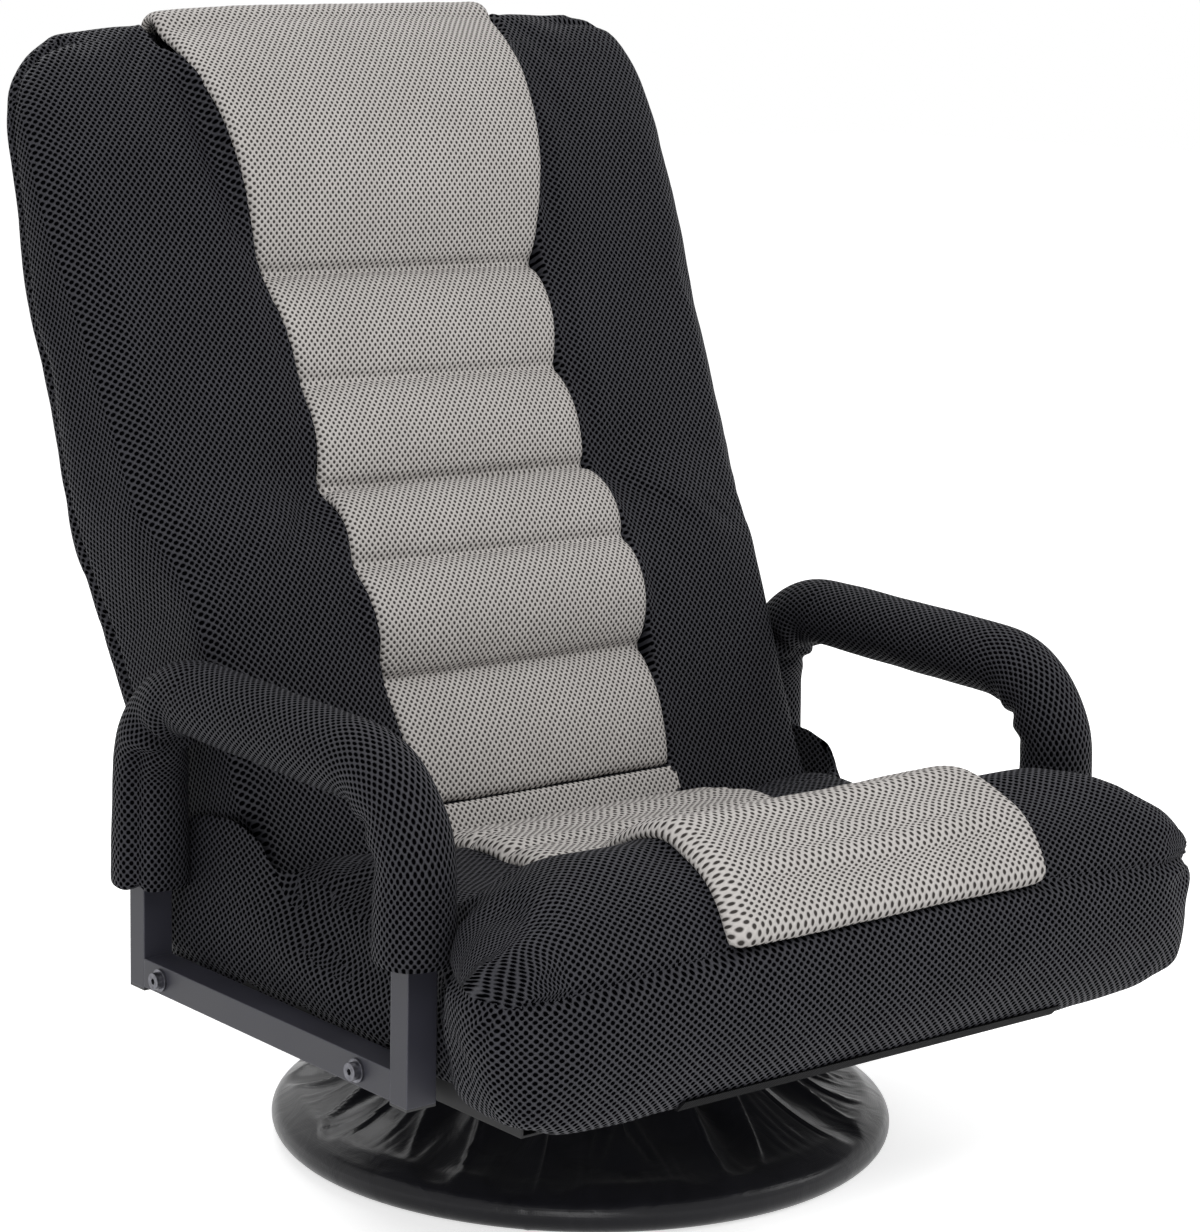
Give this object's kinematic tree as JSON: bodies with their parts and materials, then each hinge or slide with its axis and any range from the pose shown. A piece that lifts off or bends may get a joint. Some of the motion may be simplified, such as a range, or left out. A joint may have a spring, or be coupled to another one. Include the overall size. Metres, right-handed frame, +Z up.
{
  "type": "floor gaming chair",
  "caption": "Low swivelling floor chair with padded mesh seat, channelled reclining back, tubular padded arms and a round cloth-covered base.",
  "frame": {"origin": "on the floor, on the swivel axis at the centre of the round base", "axes": "+Z up along the swivel axis, the chair faces -Y, the sitter's left is +X"},
  "size_m": [0.564, 0.6168, 0.7113],
  "materials": {
    "black_mesh": "air mesh",
    "grey_mesh": "air mesh",
    "cover_nylon": "smooth coated cloth",
    "frame_paint": "satin powder coat",
    "inner_paint": "black powder coat",
    "zinc_steel": "zinc plated",
    "bearing_steel": "polished",
    "bolt_steel": "dark zinc",
    "plug_plastic": "moulded",
    "webbing": "woven elastic",
    "zip_tape": "moulded coil"
  },
  "bodies": {
    "base": {"base_ring": "inner_paint", "base_straps": "inner_paint", "base_hub_plate": "inner_paint", "base_cover": "cover_nylon", "swivel_lower_plate": "zinc_steel", "swivel_balls": "bearing_steel", "swivel_rivet": "zinc_steel", "base_plate_bolts": "bolt_steel", "base_plate_nuts": "zinc_steel"},
    "seat": {"swivel_upper_plate": "zinc_steel", "swivel_plate_bolts": "bolt_steel", "seat_rail_left": "inner_paint", "seat_rail_right": "inner_paint", "seat_front_tube": "inner_paint", "seat_rear_tube": "inner_paint", "seat_swivel_bars": "inner_paint", "seat_webbing": "webbing", "seat_cushion": "black_mesh", "seat_center_panel": "grey_mesh", "seat_zip": "zip_tape", "arm_loop_left": "frame_paint", "arm_loop_right": "frame_paint", "arm_rail_left": "frame_paint", "arm_rail_right": "frame_paint", "arm_pad_left": "black_mesh", "arm_pad_right": "black_mesh", "arm_leg_plugs_left": "plug_plastic", "arm_leg_plugs_right": "plug_plastic", "arm_washers_left": "bolt_steel", "arm_washers_right": "bolt_steel", "arm_bolts_left": "bolt_steel", "arm_bolts_right": "bolt_steel", "arm_spacers_left": "zinc_steel", "arm_spacers_right": "zinc_steel", "arm_nuts_left": "zinc_steel", "arm_nuts_right": "zinc_steel", "hinge_seat_plate_left": "inner_paint", "hinge_seat_plate_right": "inner_paint", "hinge_pin_left": "zinc_steel", "hinge_pin_right": "zinc_steel"},
    "backrest": {"hinge_back_plate_left": "inner_paint", "hinge_back_plate_right": "inner_paint", "hinge_bolts_left": "bolt_steel", "hinge_bolts_right": "bolt_steel", "back_frame": "inner_paint", "back_cross_bars": "inner_paint", "back_cushion": "black_mesh", "back_center_panel": "grey_mesh"}
  },
  "joints": [
    {"name": "swivel", "type": "hinge", "parent": "base", "child": "seat", "pos_m": [0, 0, 0], "axis": [0, 0, 1], "continuous": true},
    {"name": "recline", "type": "hinge", "parent": "seat", "child": "backrest", "pos_m": [0, 0.049, 0.159], "axis": [-1, 0, 0], "range_deg": [-26, 63]}
  ]
}
